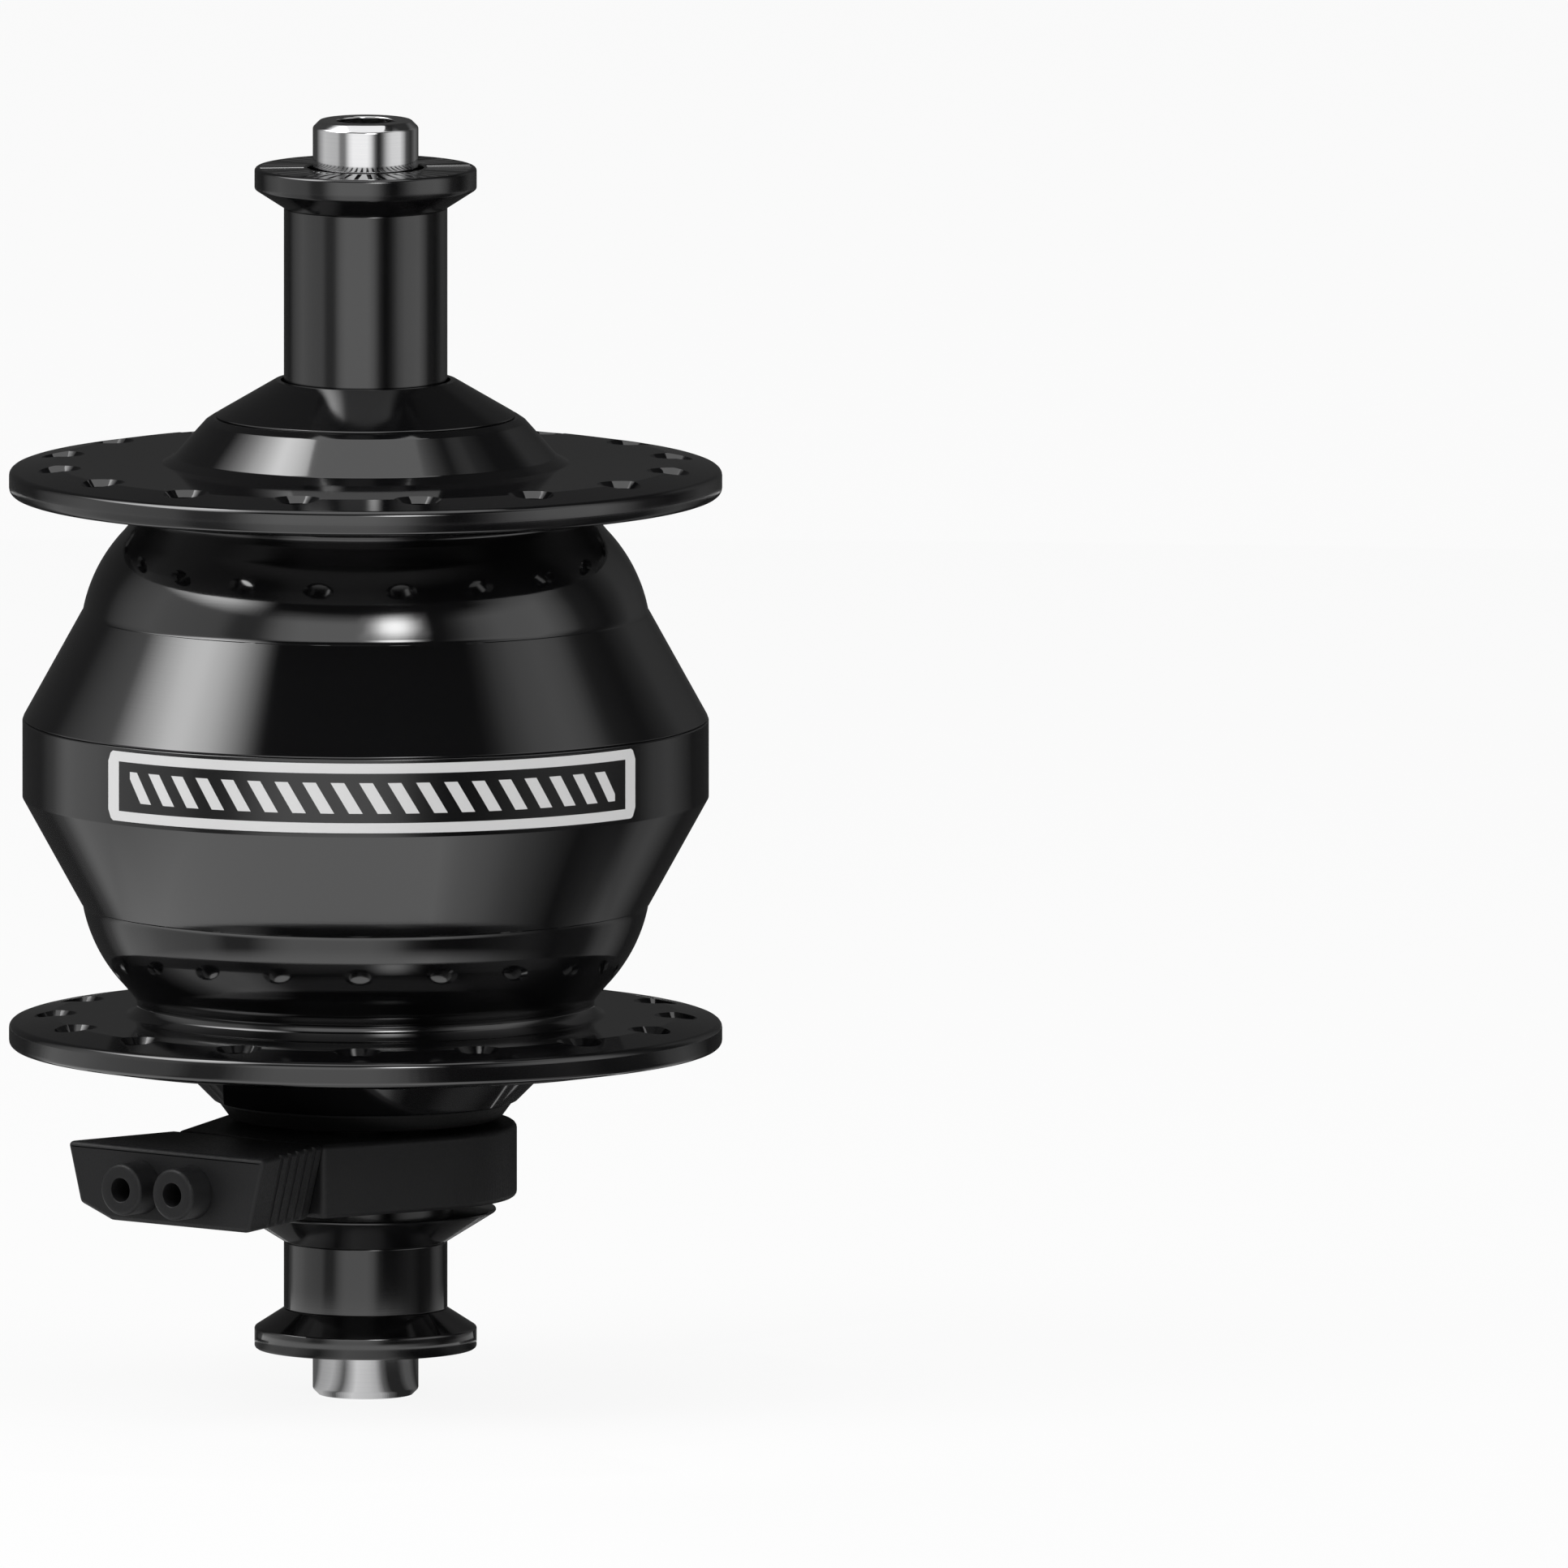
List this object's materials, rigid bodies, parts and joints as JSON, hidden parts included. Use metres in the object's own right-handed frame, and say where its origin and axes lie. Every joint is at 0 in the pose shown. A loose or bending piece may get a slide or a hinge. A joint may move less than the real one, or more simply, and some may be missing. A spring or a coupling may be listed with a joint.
{
  "type": "hub dynamo",
  "caption": "Front bicycle hub with a built-in claw-pole dynamo, drilled spoke flanges, hollow axle for a quick-release skewer, and a pull-off wire plug on a side arm.",
  "frame": {"origin": "middle of the axle, halfway between the outer faces of the two locknuts", "axes": "+Z along the axle towards the plain end; the connector is at the -Z end and its arm points along -Y"},
  "size_m": [0.06, 0.06, 0.108],
  "materials": {
    "silver_axle": "polished plated steel",
    "black_turned": "glossy black anodised, turned",
    "black_shell": "polished and black anodised",
    "bearing_steel": "ground",
    "cage_nylon": "moulded",
    "soft_iron": "stamped, bare",
    "plated_steel": "zinc plated",
    "bobbin_nylon": "moulded",
    "copper": "enamelled copper wire",
    "ferrite": "sintered",
    "connector_nylon": "moulded, fine grain",
    "plug_nylon": "moulded, fine grain",
    "contact_brass": "bright",
    "seal_rubber": "matte"
  },
  "bodies": {
    "axle_assembly": {"axle": "silver_axle", "right_locknut": "black_turned", "left_locknut": "black_turned", "right_spacer": "black_turned", "left_spacer": "black_turned", "left_cone_spacer": "black_turned", "right_inner_race": "bearing_steel", "left_inner_race": "bearing_steel", "stator_core": "soft_iron", "right_claw_ring": "soft_iron", "left_claw_ring": "soft_iron", "coil_bobbin": "bobbin_nylon", "coil_winding": "copper", "stator_nut": "plated_steel", "lead_wires": "copper", "connector_base": "connector_nylon", "terminal_pins": "contact_brass"},
    "shell": {"hub_shell": "black_shell", "right_shell": "black_shell", "joint_gasket": "seal_rubber", "flux_ring": "soft_iron", "magnets": "ferrite", "right_outer_race": "bearing_steel", "left_outer_race": "bearing_steel", "right_bearing_shield": "bearing_steel", "left_bearing_shield": "bearing_steel", "right_dust_cap": "black_shell", "right_lip_seal": "seal_rubber", "left_dust_seal": "seal_rubber"},
    "right_balls": {"right_ball_set": "bearing_steel", "right_ball_cage": "cage_nylon"},
    "left_balls": {"left_ball_set": "bearing_steel", "left_ball_cage": "cage_nylon"},
    "plug": {"plug_housing": "plug_nylon", "plug_contacts": "contact_brass"}
  },
  "joints": [
    {"name": "shell_spin", "type": "hinge", "parent": "axle_assembly", "child": "shell", "pos_m": [0, 0, 0], "axis": [0, 0, 1], "continuous": true},
    {"name": "right_ball_spin", "type": "hinge", "parent": "axle_assembly", "child": "right_balls", "pos_m": [0, 0, 0], "axis": [0, 0, 1], "continuous": true},
    {"name": "left_ball_spin", "type": "hinge", "parent": "axle_assembly", "child": "left_balls", "pos_m": [0, 0, 0], "axis": [0, 0, 1], "continuous": true},
    {"name": "plug_slide", "type": "slide", "parent": "axle_assembly", "child": "plug", "axis": [0, -1, 0], "range_m": [0, 0.012]}
  ],
  "couplings": [
    {"joint": "right_ball_spin", "follows": "shell_spin", "ratio": 0.5882},
    {"joint": "left_ball_spin", "follows": "shell_spin", "ratio": 0.5882}
  ]
}
